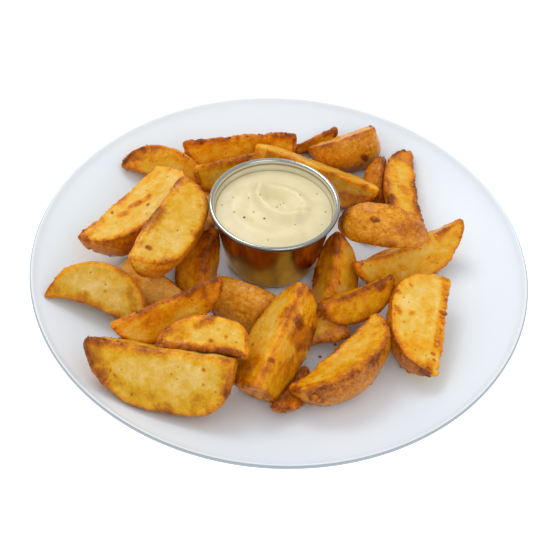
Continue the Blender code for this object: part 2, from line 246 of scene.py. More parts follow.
def steelMaterial():
    material, tree, shader = newMaterial("stainlessSteel", Metallic=1.0, Roughness=0.16)
    colour = ramp(tree, grains(tree, steel["clouds"], 2), steel["colours"])
    # painted reflection of the golden wedges, in streaks, over the outside of the cup
    wedgeReflectionStreaks = grains(tree, steel["wedgeReflectionStreaks"], 2, stretch=(1, 1, 0.3))
    golden = ramp(tree, wedgeReflectionStreaks, steel["wedgeReflectionColours"])
    colour = mixColour(tree, layer(tree, "outside"), colour, golden)
    colour = mixColour(tree, layer(tree, "shade"), colour, steel["shadeColour"])
    brushed = grains(tree, steel["brushing"], 3, stretch=(1, 1, 30))
    paint(tree, shader, colour, spread(tree, brushed, *noiseRange, *steel["roughness"]))
    addBump(tree, shader, brushed, *steel["bump"])
    return material


cream = {
    "colours": [(0.3, (0.75, 0.63, 0.36)), (0.7, (0.81, 0.70, 0.43))],
    "depths": (0.006, 0.004, 0.002),  # how far red, green and blue light travel in it
    "roughness": (0.3, 0.42),
    "bump": (0.12, 0.0003),
    "clouds": 90,
    "sheen": 300,
    "ripples": 500,
}


def dipMaterial():
    material, tree, shader = newMaterial(
        "creamyDip", Roughness=0.3, IOR=1.45, Subsurface_Weight=0.15
    )
    shader.inputs["Subsurface Radius"].default_value = cream["depths"]
    shader.inputs["Subsurface Scale"].default_value = 1.0
    colour = ramp(tree, grains(tree, cream["clouds"], 3, distortion=0.6), cream["colours"])
    sheen = grains(tree, cream["sheen"], 2)
    paint(tree, shader, colour, spread(tree, sheen, *noiseRange, *cream["roughness"]))
    addBump(tree, shader, grains(tree, cream["ripples"], 3), *cream["bump"])
    return material


herb = {
    "colours": [(0.35, (0.05, 0.045, 0.03)), (0.65, (0.20, 0.19, 0.11))],
    "bump": (0.3, 0.0002),
    "clouds": 800,
    "fibres": 2500,
}


def herbMaterial():
    material, tree, shader = newMaterial("driedHerb", Roughness=0.6)
    paint(tree, shader, ramp(tree, grains(tree, herb["clouds"], 3), herb["colours"]))
    addBump(tree, shader, grains(tree, herb["fibres"], 2), *herb["bump"])
    return material


fried = {
    "fryColours": [  # from the palest flesh to the darkest crust
        (0.0, (0.86, 0.56, 0.16)),
        (0.2, (0.82, 0.46, 0.045)),
        (0.4, (0.86, 0.355, 0.002)),
        (0.58, (0.74, 0.215, 0.001)),
        (0.78, (0.45, 0.105, 0.001)),
        (1.0, (0.19, 0.04, 0.002)),
    ],
    "oliveColours": [  # the same for potatoes of a greener yellow
        (0.0, (0.80, 0.54, 0.17)),
        (0.2, (0.72, 0.43, 0.075)),
        (0.4, (0.67, 0.34, 0.004)),
        (0.58, (0.53, 0.21, 0.002)),
        (0.78, (0.37, 0.11, 0.001)),
        (1.0, (0.20, 0.05, 0.002)),
    ],
    "skinColours": [
        (0.0, (0.90, 0.50, 0.09)),
        (0.35, (0.74, 0.285, 0.010)),
        (0.65, (0.53, 0.15, 0.002)),
        (1.0, (0.17, 0.037, 0.002)),
    ],
    "speckColour": (0.20, 0.045, 0.004, 1),
    "depths": (0.004, 0.002, 0.0008),
    "roughness": (0.35, 0.54),
    "skinShine": 0.05,  # how much smoother the skin is
    "bump": (0.8, 0.0006),
    "fineBrowning": (900, 0.36),  # the scale of a noise, and how much it changes the browning
    "cloudyBrowning": (240, 0.64),
    "skinBrowning": (420, 1.1),
    "specks": 380,
    "specksLeftOut": 0.86,
    "speckFade": (0.1, 0.26, 0.7, 0.0),
    "oil": 150,
    "oilRange": (0.35, 0.65),
    "pores": 1500,
    "dimples": 500,
}


def potatoMaterial():
    material, tree, shader = newMaterial(
        "friedPotato",
        Roughness=0.4,
        IOR=1.4,
        Coat_Weight=0.35,
        Coat_Roughness=0.14,
        Subsurface_Weight=0.06,
    )
    shader.inputs["Specular IOR Level"].default_value = 0.16
    shader.inputs["Subsurface Radius"].default_value = fried["depths"]
    shader.inputs["Subsurface Scale"].default_value = 1.0
    fry, skin = layer(tree, "fry"), layer(tree, "skin")
    scale, amount = fried["fineBrowning"]
    level = sums(tree, "ADD", fry, centred(tree, grains(tree, scale, 4), amount))
    scale, amount = fried["cloudyBrowning"]
    level = sums(tree, "ADD", level, centred(tree, grains(tree, scale, 3, distortion=0.5), amount))
    golden = ramp(tree, level, fried["fryColours"])
    flesh = mixColour(tree, layer(tree, "olive"), golden, ramp(tree, level, fried["oliveColours"]))
    place = addNode(tree, "TexCoord").outputs["Object"]
    cells = addNode(tree, "TexVoronoi", {"Vector": place, "Scale": fried["specks"]}).outputs
    pick = addNode(tree, "SeparateColor", {0: cells["Color"]}).outputs[0]
    chosen = sums(tree, "GREATER_THAN", pick, fried["specksLeftOut"])
    speck = sums(tree, "MULTIPLY", spread(tree, cells["Distance"], *fried["speckFade"]), chosen)
    flesh = mixColour(tree, speck, flesh, fried["speckColour"])
    scale, amount = fried["skinBrowning"]
    wrinkled = centred(tree, grains(tree, scale, 4, distortion=1.2), amount)
    peel = ramp(tree, sums(tree, "ADD", wrinkled, fry), fried["skinColours"])
    dull = spread(tree, grains(tree, fried["oil"], 3), *fried["oilRange"], *fried["roughness"])
    dull = sums(tree, "MULTIPLY_ADD", skin, -fried["skinShine"], dull)
    paint(tree, shader, mixColour(tree, skin, flesh, peel), dull)
    pores, dimples = grains(tree, fried["pores"], 4), grains(tree, fried["dimples"], 3)
    addBump(tree, shader, sums(tree, "MULTIPLY_ADD", pores, 0.6, dimples), *fried["bump"])
    return material


materials = {
    "porcelain": porcelainMaterial(),
    "steel": steelMaterial(),
    "dip": dipMaterial(),
    "herb": herbMaterial(),
    "potato": potatoMaterial(),
}
print("camera, light and materials made")


# mesh helpers
def readPoints(mesh, kind="co"):
    values = np.empty(len(mesh.vertices) * 3)
    mesh.vertices.foreach_get(kind, values)
    return values.reshape(-1, 3)


def writePoints(mesh, points):
    mesh.vertices.foreach_set("co", points.ravel())
    mesh.update()


def storeLayers(piece, **layers):  # values that the materials read
    for name, values in layers.items():
        piece.data.attributes.new(name, "FLOAT", "POINT").data.foreach_set("value", values)


def readLayer(piece, name):
    values = np.empty(len(piece.data.vertices))
    piece.data.attributes[name].data.foreach_get("value", values)
    return values


def rowDots(first, second):
    return np.einsum("ij,ij->i", first, second)


def smoothStep(values, low, high):
    share = np.clip((values - low) / (high - low), 0, 1)
    return share * share * (3 - 2 * share)


def ridge(distance, width):  # 1 at no distance, fading on both sides
    return np.exp(-((distance / width) ** 2))


def strokeDistance(points, path):  # from points to the nearest part of a path
    nearest = np.full(len(points), 1e9)
    for start, end in zip(path, path[1:]):
        start, along = np.array(start, float), np.subtract(end, start)
        share = np.clip((points - start) @ along / max(along @ along, 1e-12), 0, 1)
        away = np.linalg.norm(points - start - share[:, None] * along, axis=1)
        nearest = np.minimum(nearest, away)
    return nearest


def grain(points, size, seed=0.0):  # smooth noise from -1 to 1, with lumps of this size
    spots = points / size + seed * 17.13
    cell = np.floor(spots)
    share = spots - cell
    share = share * share * (3 - 2 * share)
    total = np.zeros(len(points))
    for corner in product((0, 1), repeat=3):
        value = np.sin((cell + corner) @ np.array((127.1, 311.7, 74.7))) * 43758.5453
        weight = np.prod(np.where(corner, share, 1 - share), axis=1)
        total += ((value - np.floor(value)) * 2 - 1) * weight
    return total


turnedAway = np.array(Matrix.Rotation(0.9, 3, (1, 2, 3)))  # keeps layers of noise from lining up


def layeredGrain(points, size, seed=0.0, layers=3):
    total = 0
    for level in range(layers):
        total = total + grain(points, size / 2**level, seed + level) / 2**level
        points = points @ turnedAway
    return total / 1.5


def lumps(points, look, seed=0):  # a look is an amount, a size in mm and a seed of its own
    amount, size, ownSeed = look
    return amount * layeredGrain(points, size * mm, seed + ownSeed)


def meshTree(piece):
    return BVHTree.FromObject(piece, bpy.context.evaluated_depsgraph_get())


def joinPieces(pieces):
    bpy.ops.object.select_all(action="DESELECT")
    for piece in pieces:
        piece.select_set(True)
    bpy.context.view_layer.objects.active = pieces[0]
    bpy.ops.object.join()
    return bpy.context.object


def finishPiece(piece, name, material, slot, *nodes):
    bpy.ops.object.select_all(action="DESELECT")
    piece.select_set(True)
    bpy.context.view_layer.objects.active = piece
    bpy.ops.object.transform_apply(location=True, rotation=True, scale=True)
    piece.name = name
    piece.data.name = name
    piece.data.materials.clear()
    piece.data.materials.append(materials[material])
    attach(piece, "root")
    if nodes:
        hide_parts(*nodes)


def subdivideSmooth(piece, levels):
    smooth = piece.modifiers.new("smooth", "SUBSURF")
    smooth.levels = levels
    smooth.render_levels = levels
    bpy.ops.object.modifier_apply(modifier=smooth.name)


def rolledEdge(across, height, radius, turns):  # rings round an edge, at these angles
    angles = [math.radians(turn) for turn in turns]
    return [
        (across + radius * math.cos(angle), height + radius * math.sin(angle)) for angle in angles
    ]


# from a disc upward, where each ring is a radius and a height in mm
def raiseRings(rings, segments, centre=(0, 0)):
    bpy.ops.object.select_all(action="DESELECT")
    (radius, height), place = rings[0], (centre[0] * mm, centre[1] * mm)
    bpy.ops.mesh.primitive_circle_add(
        vertices=segments, radius=radius * mm, fill_type="NGON", location=(*place, height * mm)
    )
    piece = bpy.context.object
    bpy.ops.object.mode_set(mode="EDIT")
    bpy.ops.mesh.select_all(action="SELECT")
    for nextRadius, nextHeight in rings[1:]:
        rise = (0, 0, (nextHeight - height) * mm)
        bpy.ops.mesh.extrude_region_move(TRANSFORM_OT_translate={"value": rise})
        grow = nextRadius / radius
        bpy.ops.transform.resize(value=(grow, grow, 1), center_override=(*place, nextHeight * mm))
        radius, height = nextRadius, nextHeight
    bpy.ops.mesh.select_all(action="SELECT")
    bpy.ops.mesh.normals_make_consistent(inside=False)
    bpy.ops.object.mode_set(mode="OBJECT")
    bpy.ops.object.transform_apply(location=True, rotation=True, scale=True)
    bpy.ops.object.shade_smooth()
    return piece


# in mm: from its middle the plate is flat, then rises in a curve to a rolled lip
plate = {
    "radius": 129.9,
    "curveEnd": 130,
    "height": 25,
    "floor": 6.5,
    "floorRadius": 80,
    "foot": (72, 76),
    "footRound": 0.7,
    "footBend": 0.8,
    "wall": 3.6,
    "lip": 1.5,
    "lipTurns": (-60, -20, 20, 55, 90),
    "lipInside": (126.8, 0.25),
    "underMiddle": 40,
    "underRings": (84, 92, 100, 108, 116, 122),
    "topRings": (125, 121, 115, 108, 100, 92, 85, 80, 75, 60, 40, 20),
    "rimShadeBand": (128.4, 129.1),
    "rimShadeStrength": 0.8,
    "segments": 64,
}


def plateTop(radius):
    outward = max(radius - plate["floorRadius"], 0) / (plate["curveEnd"] - plate["floorRadius"])
    return plate["floor"] + (plate["height"] - plate["floor"]) * outward**2


def makePlate():
    footIn, footOut = plate["foot"]
    footRound, bend, lip = plate["footRound"], plate["footBend"], plate["lip"]
    under = plate["floor"] - plate["wall"]
    rings = [(plate["underMiddle"], under), (footIn - 2, under), (footIn - bend, under - bend)]
    rings += [(footIn, 0.5), (footIn + footRound, 0), (footOut - footRound, 0), (footOut, 0.5)]
    rings += [(footOut + bend, under - bend), (footOut + 2, under)]
    rings += [(radius, plateTop(radius) - plate["wall"]) for radius in plate["underRings"]]
    rings += rolledEdge(plate["radius"] - lip, plate["height"] - lip, lip, plate["lipTurns"])
    inside, fillet = plate["lipInside"]
    rings.append((inside, plateTop(inside) + fillet))
    rings += [(radius, plateTop(radius)) for radius in plate["topRings"]]
    piece = raiseRings(rings, plate["segments"])
    subdivideSmooth(piece, 2)
    across = np.linalg.norm(readPoints(piece.data)[:, :2], axis=1) / mm
    # painted shade: the outer side of the rolled lip turns grey
    storeLayers(piece, rim=plate["rimShadeStrength"] * smoothStep(across, *plate["rimShadeBand"]))
    finishPiece(piece, "coupePlate", "porcelain", "white_glaze", "plate")
    return piece


# in mm, with heights from the cup's own base
cup = {
    "centre": (-4.8, 15.3),
    "base": 6.8,
    "height": 42,
    "baseRadius": 24.5,
    "wallTop": 32.38,
    "wall": 0.6,
    "bead": 1.3,
    "beadAcross": 32.9,
    "beadTurns": range(-80, 171, 25),
    "beadFrom": 39.8,
    "foot": [(8, 0.35), (18, 0.3), (20.3, 0), (22, 0.5), (23.6, 1.6), (24.6, 3.2)],
    "outerHeights": (5, 14, 26, 36, 38.6),
    "neck": 39.1,
    "neckStep": 0.1,
    "innerHeights": (40.2, 38, 26, 6),
    "insideBase": [(22.3, 1.9), (20, 0.9), (8, 0.7)],
    # the painted reflection of the wedges is full below the second height and gone above the first
    "wedgeReflectionBelow": (39.6, 38.4),
    # painted shade: the place and width of a dark line round the bead, and of one tucked under it
    "beadLine": (34.2, 0.45),
    "tuckedLine": (39.6, 0.6),
    "tuckedShade": 0.8,
    "segments": 48,
}


def cupRadius(height):  # outside of its wall
    return cup["baseRadius"] + (cup["wallTop"] - cup["baseRadius"]) * height / cup["height"]


def makeCup():
    base, neck, step = cup["base"], cup["neck"], cup["neckStep"]
    outer = cup["foot"] + [(cupRadius(height), height) for height in cup["outerHeights"]]
    outer.append((cupRadius(neck) + step, neck + step))
    beadMiddle = cup["height"] - cup["bead"]
    bead = rolledEdge(cup["beadAcross"], beadMiddle, cup["bead"], cup["beadTurns"])
    inner = [(cupRadius(height) - cup["wall"], height) for height in cup["innerHeights"]]
    rings = [(radius, base + height) for radius, height in outer + bead + inner + cup["insideBase"]]
    piece = raiseRings(rings, cup["segments"], cup["centre"])
    subdivideSmooth(piece, 2)
    points = readPoints(piece.data) / mm
    fromMiddle, above = points[:, :2] - cup["centre"], points[:, 2] - base
    facing = rowDots(fromMiddle, readPoints(piece.data, "normal")[:, :2])
    across = np.linalg.norm(fromMiddle, axis=1)
    line, width = cup["beadLine"]
    shade = ridge(across - line, width) * (above > cup["beadFrom"])
    line, width = cup["tuckedLine"]
    shade += cup["tuckedShade"] * ridge(above - line, width) * (facing < 0)
    # painted reflection of the wedges on the outer wall, below the bead
    outside = (facing > 0) * smoothStep(above, *cup["wedgeReflectionBelow"])
    storeLayers(piece, outside=outside, shade=np.clip(shade, 0, 1))
    finishPiece(piece, "steelCup", "steel", "steel", "cup")


dip = {
    "level": 35.9,
    "gap": 0.4,
    "bottom": [(10, 1.2), (20, 1.3), (22.8, 2.8)],
    "ringShares": (0.97, 0.93, 0.87, 0.8, 0.72, 0.64, 0.56, 0.48, 0.4, 0.32, 0.24, 0.16, 0.08),
    "segments": 64,
    # strokes of the spoon: points across and up from the cup's middle, width and height, all in mm
    "strokes": [
        ([(-8, 13), (-9, 9), (-6, 3), (-1, -2), (5, -5), (11, -5)], 3.0, 3.3),
        ([(-9, 14), (-3, 16), (5, 15), (12, 11), (16, 5), (15, -2), (10, -8)], 3.2, 2.4),
        ([(-17, 10), (-20, 2), (-18, -8), (-11, -15), (0, -19), (11, -17)], 4.5, 1.65),
        ([(-3, 10), (3, 8), (7, 3)], 3.0, -2.1),
        ([(10, 1), (15, 0), (19, 1)], 1.1, -1.2),
        ([(-15, -2), (-10, -8), (-2, -12), (6, -12)], 3.5, -1.2),
    ],
    "swell": (0.25, 9, 3),
    "ripple": (0.05, 1.6, 5),
    "wallFoot": 8,
    "shoulder": (0.6, 3),
    "lip": 0.1,
    "topDepth": 1.5,
    "settled": 0.2,
    "calmEdge": 7,  # how soon the strokes fade out toward the cup
}


def makeDip():
    base, level = cup["base"], dip["level"]
    edge = cupRadius(level) - dip["gap"]
    rings = [(radius, base + height) for radius, height in dip["bottom"]]
    low, (inset, drop) = dip["wallFoot"], dip["shoulder"]
    rings.append((cupRadius(low) - dip["gap"], base + low))
    rings += [(edge - inset, base + level - drop), (edge, base + level + dip["lip"])]
    rings += [(edge * share, base + level) for share in dip["ringShares"]]
    piece = raiseRings(rings, dip["segments"], cup["centre"])
    subdivideSmooth(piece, 2)
    points = readPoints(piece.data)
    flat = points[:, :2] / mm - cup["centre"]
    rise = lumps(points, dip["swell"]) + lumps(points, dip["ripple"])
    for path, width, height in dip["strokes"]:
        rise += height * ridge(strokeDistance(flat, path), width)
    outward = np.linalg.norm(flat, axis=1) / edge
    top = (points[:, 2] > (base + level - dip["topDepth"]) * mm) & (outward < 1.0)
    calm = np.clip((1 - outward) * dip["calmEdge"], 0, 1)
    points[top, 2] += (rise * calm - dip["settled"])[top] * mm
    writePoints(piece.data, points)
    finishPiece(piece, "creamyDip", "dip", "white_dip", "dip")
    return piece


herbs = {
    "flatness": (1.0, 0.6, 0.35),
    "tilt": 0.3,
    "ragged": 0.5,
    "raggedSize": 0.5,
    "seed": 7,
    "specks": [  # a place in the frame, and a size in mm
        (277, 207, 0.55), (280.5, 204.5, 0.5), (283.5, 203, 0.5), (243.5, 217.5, 0.95),
        (264.5, 218.5, 0.8), (253.5, 212, 0.45), (234.5, 212, 0.55), (248.5, 198, 0.6),
        (233, 197.5, 0.45), (260, 195, 0.55), (300, 195, 0.5), (317, 194, 0.5), (295, 224.5, 0.5),
        (322, 224.5, 0.45), (325.5, 212, 0.5), (222, 205, 0.5), (303, 203, 0.4), (268, 240, 0.4),
    ],
}


def makeHerbs(dipPiece):
    chance = random.Random(herbs["seed"])
    surface = meshTree(dipPiece)
    tilt = herbs["tilt"]
    flakes = []
    for across, down, size in herbs["specks"]:
        place = surface.ray_cast(eye, sightLine(across, down))[0]
        bpy.ops.mesh.primitive_ico_sphere_add(subdivisions=2, radius=size * mm, location=place)
        flake = bpy.context.object
        flake.scale = herbs["flatness"]
        leaning = [chance.uniform(-tilt, tilt), chance.uniform(-tilt, tilt)]
        flake.rotation_euler = (*leaning, chance.uniform(0, 3))
        bpy.ops.object.transform_apply(location=True, rotation=True, scale=True)
        points = readPoints(flake.data)
        ragged = herbs["ragged"] * grain(points, herbs["raggedSize"] * mm, across)
        points += (points - np.array(place)) * ragged[:, None]
        writePoints(flake.data, points)
        flakes.append(flake)
    finishPiece(joinPieces(flakes), "herbSpecks", "herb", "white_dip")


platePiece = makePlate()
makeCup()
makeHerbs(makeDip())
print("plate, cup, dip and herbs made")

# fry is how brown the flesh is and peel how brown the skin is, from 0 to 1; olive is how green the
# yellow is, and skin how much of the skin is left. rough is how far the crust stands up along the
# cut edges and swell how much fuller the wedge is, in mm; crease is how sharp its edges are. Each
# mark is a stroke across the frame: where it starts and ends, its radius in mm, and how much
# browner it makes the piece.
wedges = {
    "wedge_left": {
        "fry": 0.27, "peel": 0.4, "olive": 1, "rough": 0.4,
        "marks": [
            (50, 294, 80, 299, 3.5, 0.14), (84, 299, 122, 319, 3, 0.14),
            (100, 290, 108, 300, 7, -0.12), (86, 292, 88, 293, 1.2, 0.25),
            (106, 291, 106, 291, 0.8, 0.35), (130, 290, 136, 316, 2, 0.25),
        ],
    },
    "wedge_front_left": {
        "fry": 0.3, "peel": 0.45, "olive": 1, "swell": 0.6, "rough": 0.4,
        "marks": [
            (92, 345, 100, 370, 5, 0.32), (104, 374, 165, 406, 3, 0.18),
            (196, 396, 214, 384, 7, 0.08), (140, 362, 198, 376, 10, -0.12),
            (200, 402, 230, 386, 6, 0.16), (204, 369, 204, 369, 1.0, 0.5),
            (203.6, 384, 203.6, 384, 0.7, 0.4), (115, 374, 116, 375, 0.7, 0.35),
            (120, 346, 145, 350, 4, 0.16), (226, 392, 232, 372, 3, 0.15),
        ],
    },
    "wedge_orange_long": {
        "fry": 0.43, "peel": 0.5, "olive": 0.1, "rough": 0.6,
        "marks": [
            (150, 322, 175, 308, 3, 0.2), (190, 296, 208, 286, 4.5, 0.18),
            (138, 338, 155, 342, 6, -0.16), (162, 322, 172, 318, 5, -0.12),
            (183, 309, 196, 303, 4.5, -0.14), (205, 300, 212, 318, 4, 0.18),
        ],
    },
    "wedge_pale": {
        "fry": 0.24, "peel": 0.4, "olive": 0.6, "swell": 0.8, "rough": 0.5,
        "marks": [
            (197, 327, 210, 322, 2.4, 0.35), (172, 334, 184, 337, 3.5, 0.22),
            (211, 342, 211, 342, 0.9, 0.5), (160, 346, 236, 354, 2.6, 0.3),
            (219, 330, 219, 330, 0.7, 0.35), (226, 338, 226, 338, 0.7, 0.35),
        ],
    },
    "wedge_centre": {
        "fry": 0.37, "peel": 0.55, "olive": 0.4, "skin": 0.25, "crease": 0.12, "rough": 0.5,
        "marks": [
            # the first mark is a painted highlight: a paler patch near the top of the cut face,
            # where it catches a sheen
            (270, 300, 278, 312, 7, -0.16), (260, 332, 276, 346, 7, -0.18),
            (284, 313, 298, 323, 3.2, 0.28), (312, 286, 316, 322, 6.5, 0.32),
            (296, 332, 310, 340, 6.5, 0.34), (300, 350, 296, 366, 4, 0.22),
            (255, 346, 255, 346, 1, 0.3), (250, 366, 280, 376, 8, 0.06),
            (270, 360, 272, 361, 1, 0.3), (288, 366, 298, 372, 4, 0.2),
        ],
    },
    "wedge_under_front": {
        "fry": 0.55, "peel": 0.6, "rough": 0.9,
        "marks": [
            (283, 404, 290, 396, 3, 0.2),
        ],
    },
    "wedge_under_right": {
        "fry": 0.38, "peel": 0.5, "swell": 0.8, "rough": 0.5,
        "marks": [
            (325, 335, 338, 330, 2, 0.2),
        ],
    },
    "wedge_skin_right": {
        "fry": 0.28, "peel": 0.52, "olive": 0.5, "rough": 1.2,
        "marks": [
            (300, 388, 328, 366, 2.5, 0.2), (296, 396, 318, 388, 5, 0.25),
            (330, 388, 366, 366, 7, 0.14), (372, 356, 384, 330, 5, 0.14),
            (362, 320, 376, 326, 3, 0.2), (312, 396, 320, 400, 3, 0.3),
        ],
    },
    "wedge_right": {
        "fry": 0.13, "peel": 0.6, "olive": 0.35, "rough": 1.1,
        "marks": [
            (397, 309, 399, 314, 1.6, 0.35), (410, 314, 412, 314, 1.4, 0.4),
            (422, 303, 430, 312, 2.4, 0.2), (427, 316, 428, 324, 2.0, 0.2),
            (412, 344, 422, 348, 5, 0.16), (444, 280, 444, 300, 1.8, 0.3),
            (442, 305, 435, 345, 1.8, 0.3), (424, 372, 428, 366, 3, 0.4),
            (409, 286, 410, 287, 0.9, 0.35), (398, 293, 399, 294, 0.9, 0.3),
            (396, 280, 412, 278, 4, 0.12), (404, 336, 404, 337, 0.8, 0.3),
        ],
    },
    "wedge_boomerang": {
        "fry": 0.27, "peel": 0.5, "olive": 0.2, "rough": 1.1,
        "marks": [
            (358, 272, 380, 256, 6, 0.3), (422, 262, 432, 258, 3.5, 0.2),
            (398, 266, 403, 267, 1.8, 0.16), (405, 252, 430, 240, 5, -0.08),
            (438, 235, 455, 222, 2.5, 0.2), (380, 276, 410, 282, 4, 0.12),
        ],
    },
    "wedge_upright": {
        "fry": 0.4, "peel": 0.5, "olive": 0.3, "rough": 1.4,
        "marks": [
            (394, 156, 402, 158, 4, 0.14), (386, 214, 392, 200, 3, 0.22),
            (402, 172, 404, 180, 4, -0.1), (396, 210, 404, 208, 4, -0.1),
            (413, 180, 418, 214, 2.5, 0.14), (402, 190, 406, 194, 3, 0.16),
            (410, 216, 412, 218, 2, 0.25),
        ],
    },
    "wedge_skin_cup": {
        "fry": 0.38, "peel": 0.36, "olive": 0.2, "rough": 0.5,
        "marks": [
            (344, 216, 352, 240, 6.5, 0.5), (374, 219.5, 375, 220.5, 1.2, 0.7),
            (378.5, 221, 379, 221, 0.9, 0.6), (362, 240, 390, 243, 3, 0.2),
            (402, 226, 420, 232, 4, 0.25),
        ],
    },
    "wedge_small_right": {
        "fry": 0.5, "peel": 0.55, "olive": 0.35, "rough": 0.5,
        "marks": [
            (345, 288, 380, 286, 3, 0.28), (330, 300, 340, 292, 4, 0.2),
            (358, 300, 374, 304, 4, -0.08),
        ],
    },
    "wedge_cup_right": {
        "fry": 0.42, "peel": 0.55, "swell": 0.7, "rough": 0.5,
        "marks": [
            (324, 246, 316, 280, 6, 0.34), (336, 283, 336, 283, 1.0, 0.5),
            (340, 258, 344, 272, 4, -0.06),
        ],
    },
    "wedge_cup_left": {
        "fry": 0.42, "peel": 0.5, "swell": 0.8, "rough": 0.4,
        "marks": [
            (204, 240, 210, 250, 5, 0.22), (214, 240, 214, 275, 4, 0.2),
        ],
    },
    "wedge_skin_left": {
        "fry": 0.34, "peel": 0, "swell": 0.8, "rough": 0.4,
        "marks": [
            (132, 268, 140, 280, 3, 0.2),
        ],
    },
    "wedge_yellow_left": {
        "fry": 0.28, "peel": 0.5, "olive": 0.8, "rough": 0.5,
        "marks": [
            (150, 226, 158, 212, 4.5, 0.3), (147, 249, 149, 250, 1.3, 0.6),
            (191, 232, 191, 232, 0.8, 0.35), (165, 244, 190, 246, 5, -0.06),
            (134, 232, 142, 246, 3, 0.1), (170, 182, 185, 186, 5, 0.08),
        ],
    },
    "wedge_crusty": {
        "fry": 0.14, "peel": 0.5, "olive": 0.35, "rough": 1.4,
        "marks": [
            (108, 212, 124, 216, 3, 0.42), (84, 240, 100, 224, 3.5, 0.3),
            (132, 208, 150, 198, 2, 0.4), (120, 204, 128, 196, 2.5, 0.2),
            (146, 182, 156, 176, 3, 0.2), (112, 240, 130, 244, 4, 0.12),
            (150, 200, 160, 188, 3, 0.12),
        ],
    },
    "wedge_back_left": {
        "fry": 0.36, "peel": 0.2, "rough": 0.4,
        "marks": [
            (128, 160, 140, 154, 4, 0.2),
        ],
    },
    "wedge_olive": {
        "fry": 0.4, "peel": 0.5, "olive": 1, "swell": 0.8, "rough": 0.4,
        "marks": [
            (200, 222, 206, 226, 3, 0.2),
        ],
    },
    "wedge_far_back": {
        "fry": 0.42, "peel": 0.45, "rough": 1.4,
        "marks": [
            (182, 150, 196, 142, 4, 0.2), (284, 140, 292, 136, 4, 0.06),
        ],
    },
    "wedge_back_mid": {
        "fry": 0.3, "peel": 0, "olive": 0.2, "rough": 0.8,
        "marks": [
            (206, 166, 245, 158, 2.5, 0.2), (236, 152, 240, 160, 3, 0.15),
        ],
    },
    "wedge_behind_cup": {
        "fry": 0.2, "peel": 0.28, "olive": 0.2, "rough": 0.5,
        "marks": [
            (262, 148, 300, 152, 4, -0.14), (310, 160, 330, 172, 4, 0.2),
            (258, 156, 270, 158, 2, 0.25), (345, 196, 370, 200, 4, 0.3),
        ],
    },
    "wedge_eye": {
        "fry": 0.44, "peel": 0.46, "rough": 0.6,
        "marks": [
            (363, 156, 365, 158, 1.6, 0.8), (356, 168, 366, 174, 4, 0.2),
        ],
    },
    "wedge_back_strip": {"fry": 0.46, "peel": 0.5, "swell": 0.4, "rough": 0.9, "marks": []},
    "wedge_red_back": {"fry": 0.62, "peel": 0.6, "swell": 1.2, "rough": 0.4, "marks": []},
    "wedge_yellow_back": {
        "fry": 0.36, "peel": 0.5, "olive": 0.8, "swell": 1, "rough": 0.4,
        "marks": [

        ],
    },
    "wedge_cup_front": {
        "fry": 0.42, "peel": 0.32, "rough": 0.4,
        "marks": [
            (262, 318, 272, 304, 3, 0.25),
        ],
    },
}

# what all wedges share, in mm: a lump is an amount, a size and a seed of its own
potato = {
    "crease": 0.35,
    "olive": 0.1,
    "merge": 0.02,
    "flatFaces": 28,  # triangles that meet flatter than this become squares, and sharper edges
    "cutEdge": 34,  # than this are the cut ones, in degrees
    "longOne": 45,
    "longLevels": 4,
    "shortLevels": 3,
    "skinTurn": (0.5, 0.7),
    "skinFacing": (0.1, 0.4),
    "skinReach": (2.5, 5),
    "skinWobble": 0.12,
    "clouds": (0.15, 11, 5),
    "flecks": (0.09, 3, 6),
    "ragged": (0.45, 3.5, 9),
    "markSoftness": (0.55, 2.2),  # a share of the radius, and the most in mm
    "oliveClouds": (0.3, 14, 14),
    "edgeLessOlive": (0.6, 1.6),
    "edgeBrown": (0.09, 2.8),
    # an amount, a width, the size and seed of the patches, and where they start and are full
    "edgePatches": [
        (0.18, 3.2, 6, 2, -0.35, 0.5),
        (0.19, 0.9, 4, 12, -0.9, -0.1),
    ],
    "fullness": 0.55,
    "bulge": 0.6,
    "bulk": (1.1, 16, 1),
    "dents": (0.34, 5, 3),
    "grit": (0.07, 1.6, 4),
    "crust": (0.75, 2.4, 7),
    "crustLeast": 0.25,
    "crustWidth": 1.3,
    "rim": (0.35, 1.6, 1.4),  # a low ridge beside the cut edges: its height, place and width
    "wrinkles": (0.36, 2.6, 11),
    "wrinkleStretch": 0.75,
    "blister": 0.5,
    "blisterLumps": (0.4, 1.2, 8),
}


def startWedge(node, crease):
    bpy.ops.object.select_all(action="DESELECT")
    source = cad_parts[node]
    piece = source.copy()
    piece.data = source.data.copy()
    bpy.context.scene.collection.objects.link(piece)
    piece.hide_render = False
    piece.select_set(True)
    bpy.context.view_layer.objects.active = piece
    bpy.ops.object.mode_set(mode="EDIT")
    bpy.ops.mesh.select_all(action="SELECT")
    bpy.ops.mesh.remove_doubles(threshold=potato["merge"] * mm)
    flat = math.radians(potato["flatFaces"])
    bpy.ops.mesh.tris_convert_to_quads(face_threshold=flat, shape_threshold=math.pi)
    bpy.ops.mesh.normals_make_consistent(inside=False)
    bpy.ops.mesh.select_all(action="DESELECT")
    bpy.ops.mesh.edges_select_sharp(sharpness=math.radians(potato["cutEdge"]))
    bpy.ops.transform.edge_crease(value=crease)
    bpy.ops.object.mode_set(mode="OBJECT")
    return piece


def creaseDistance(piece, points):  # how far each point is from the cut edges
    mesh = piece.data
    creases = np.zeros(len(mesh.edges))
    mesh.attributes["crease_edge"].data.foreach_get("value", creases)
    ends = np.empty(len(mesh.edges) * 2, dtype=np.int64)
    mesh.edges.foreach_get("vertices", ends)
    onCrease = np.unique(ends.reshape(-1, 2)[creases > 0.05])
    tree = KDTree(len(onCrease))
    for index, vertex in enumerate(onCrease):
        tree.insert(points[vertex], index)
    tree.balance()
    return np.array([tree.find(point)[2] for point in points])


def longAxis(points):  # one tip of a wedge, the direction to the other and the length
    middle = points.mean(axis=0)
    tail = points[np.linalg.norm(points - middle, axis=1).argmax()]
    nose = points[np.linalg.norm(points - tail, axis=1).argmax()]
    length = np.linalg.norm(nose - tail)
    return tail, (nose - tail) / length, length


